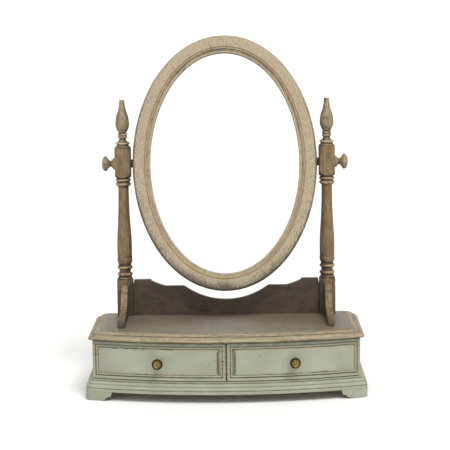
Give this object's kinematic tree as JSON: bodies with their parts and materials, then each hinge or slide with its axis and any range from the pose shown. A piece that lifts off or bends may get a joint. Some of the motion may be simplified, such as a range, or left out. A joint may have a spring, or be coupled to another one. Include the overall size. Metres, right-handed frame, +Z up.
{
  "type": "dressing mirror",
  "caption": "Oval dressing mirror that tilts between turned posts on a bow-fronted box with two small drawers and bracket feet.",
  "frame": {"origin": "on the surface it stands on, in the middle of the whole object's width and depth", "axes": "+Z up, -Y out of the drawer fronts, +X to the right as seen from the front"},
  "size_m": [0.6, 0.3237, 0.7633],
  "materials": {
    "top_wood": "limed brown-grey stain, dull wax",
    "edge_wood": "limed tan stain, dull wax",
    "sage_paint": "sage green paint, rubbed at the edges, dull wax",
    "plain_wood": "unfinished",
    "aged_brass": "antiqued, lacquered",
    "zinc_steel": "zinc plated",
    "insert_brass": "turned",
    "dark_fibre": "felt",
    "turned_wood": "stained and glazed, dull wax",
    "bracket_wood": "stained and glazed, dull wax",
    "back_board_wood": "dark stain, dull wax",
    "frame_wood": "limed stain, dull wax",
    "mirror_glass": "silvered float glass",
    "backing_board": "hardboard"
  },
  "bodies": {
    "base": {"back_board": "back_board_wood", "back_board_screws": "zinc_steel", "back_left_foot": "sage_paint", "back_right_foot": "sage_paint", "bracket_screws": "zinc_steel", "carcase_back": "plain_wood", "carcase_bottom": "plain_wood", "centre_divider": "plain_wood", "front_left_foot": "sage_paint", "front_right_foot": "sage_paint", "left_bracket": "bracket_wood", "left_finial": "turned_wood", "left_post": "turned_wood", "left_side_panel": "sage_paint", "plinth_back": "plain_wood", "plinth_front": "sage_paint", "plinth_glue_blocks": "plain_wood", "plinth_left": "sage_paint", "plinth_right": "sage_paint", "post_screws": "zinc_steel", "right_bracket": "bracket_wood", "right_finial": "turned_wood", "right_post": "turned_wood", "right_side_panel": "sage_paint", "top_dowels": "plain_wood", "top_moulding_front": "edge_wood", "top_moulding_left": "edge_wood", "top_moulding_right": "edge_wood", "top_panel": "top_wood"},
    "mirror": {"backing_screws": "zinc_steel", "left_pivot_insert": "insert_brass", "left_pivot_washer": "dark_fibre", "mirror_backing": "backing_board", "mirror_frame": "frame_wood", "mirror_glass": "mirror_glass", "right_pivot_insert": "insert_brass", "right_pivot_washer": "dark_fibre"},
    "left_drawer": {"left_drawer_back": "plain_wood", "left_drawer_beading": "sage_paint", "left_drawer_bottom": "plain_wood", "left_drawer_front": "sage_paint", "left_drawer_inner_side": "plain_wood", "left_drawer_knob": "aged_brass", "left_drawer_knob_screw": "zinc_steel", "left_drawer_outer_side": "plain_wood"},
    "right_drawer": {"right_drawer_back": "plain_wood", "right_drawer_beading": "sage_paint", "right_drawer_bottom": "plain_wood", "right_drawer_front": "sage_paint", "right_drawer_inner_side": "plain_wood", "right_drawer_knob": "aged_brass", "right_drawer_knob_screw": "zinc_steel", "right_drawer_outer_side": "plain_wood"},
    "left_knob": {"left_pivot_bolt": "zinc_steel", "left_pivot_knob": "turned_wood"},
    "right_knob": {"right_pivot_bolt": "zinc_steel", "right_pivot_knob": "turned_wood"}
  },
  "joints": [
    {"name": "mirror_tilt", "type": "hinge", "parent": "base", "child": "mirror", "pos_m": [0, 0.09261, 0.4845], "axis": [-1, 0, 0], "continuous": true},
    {"name": "left_drawer_slide", "type": "slide", "parent": "base", "child": "left_drawer", "axis": [0, -1, 0], "range_m": [0, 0.13]},
    {"name": "right_drawer_slide", "type": "slide", "parent": "base", "child": "right_drawer", "axis": [0, -1, 0], "range_m": [0, 0.13]},
    {"name": "left_knob_turn", "type": "hinge", "parent": "base", "child": "left_knob", "pos_m": [-0.2425, 0.09261, 0.4845], "axis": [-1, 0, 0], "continuous": true},
    {"name": "right_knob_turn", "type": "hinge", "parent": "base", "child": "right_knob", "pos_m": [0.2425, 0.09261, 0.4845], "axis": [1, 0, 0], "continuous": true}
  ]
}
